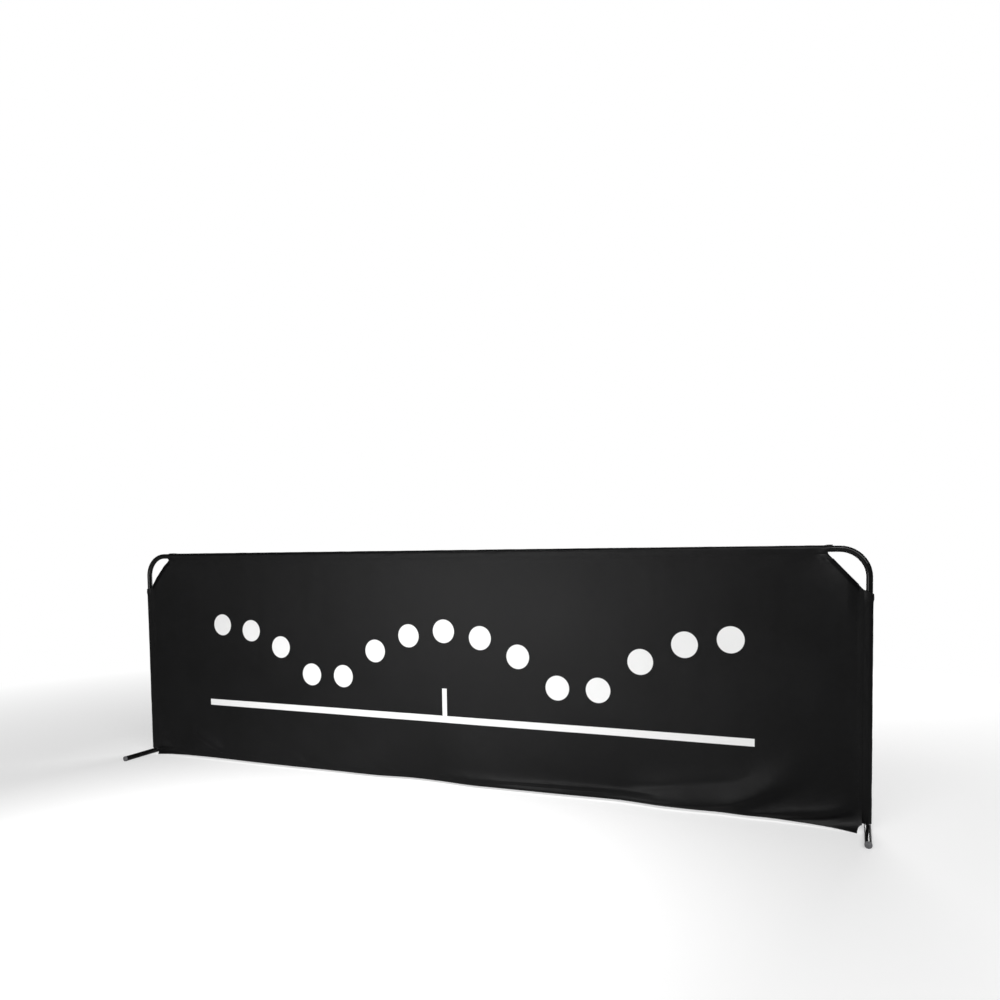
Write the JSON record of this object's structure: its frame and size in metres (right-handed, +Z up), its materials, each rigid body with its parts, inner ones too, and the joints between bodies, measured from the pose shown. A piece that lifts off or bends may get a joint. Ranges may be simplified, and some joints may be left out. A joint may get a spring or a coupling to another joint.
{
  "type": "table tennis barrier",
  "caption": "Free-standing court barrier: black cloth panel sewn onto a round-cornered steel tube frame that stands on swivelling cross feet.",
  "frame": {"origin": "on the floor at the middle of the barrier, below the centre of the panel", "axes": "+X along the barrier to its right end as seen from the court, +Y away from the court (the barrier's back), +Z up"},
  "size_m": [2.3336, 0.27, 0.7018],
  "materials": {
    "black_tube": "semi-gloss black powder coat",
    "bare_steel": "zinc plated",
    "grey_plug": "moulded, matt",
    "pale_nylon": "moulded nylon",
    "black_cloth": "plain-woven polyester with a slight sheen"
  },
  "bodies": {
    "frame_and_cover": {"left_leg_tube": "black_tube", "right_leg_tube": "black_tube", "top_rail_tube": "black_tube", "left_rail_joiner": "bare_steel", "right_rail_joiner": "bare_steel", "left_joiner_pin": "bare_steel", "right_joiner_pin": "bare_steel", "left_leg_bush": "pale_nylon", "right_leg_bush": "pale_nylon", "left_retaining_pin": "bare_steel", "right_retaining_pin": "bare_steel", "cover_panel": "black_cloth", "top_sleeve": "black_cloth", "left_sleeve": "black_cloth", "right_sleeve": "black_cloth", "left_corner_binding": "black_cloth", "right_corner_binding": "black_cloth", "bottom_hem": "black_cloth"},
    "left_foot": {"left_foot_bar": "black_tube", "left_foot_spigot": "bare_steel", "left_front_foot_plug": "grey_plug", "left_back_foot_plug": "grey_plug"},
    "right_foot": {"right_foot_bar": "black_tube", "right_foot_spigot": "bare_steel", "right_front_foot_plug": "grey_plug", "right_back_foot_plug": "grey_plug"}
  },
  "joints": [
    {"name": "left_foot_swivel", "type": "hinge", "parent": "frame_and_cover", "child": "left_foot", "pos_m": [-1.157, 0, 0.04], "axis": [0, 0, 1], "range_deg": [-90, 0]},
    {"name": "right_foot_swivel", "type": "hinge", "parent": "frame_and_cover", "child": "right_foot", "pos_m": [1.157, 0, 0.04], "axis": [0, 0, 1], "range_deg": [0, 90]}
  ]
}
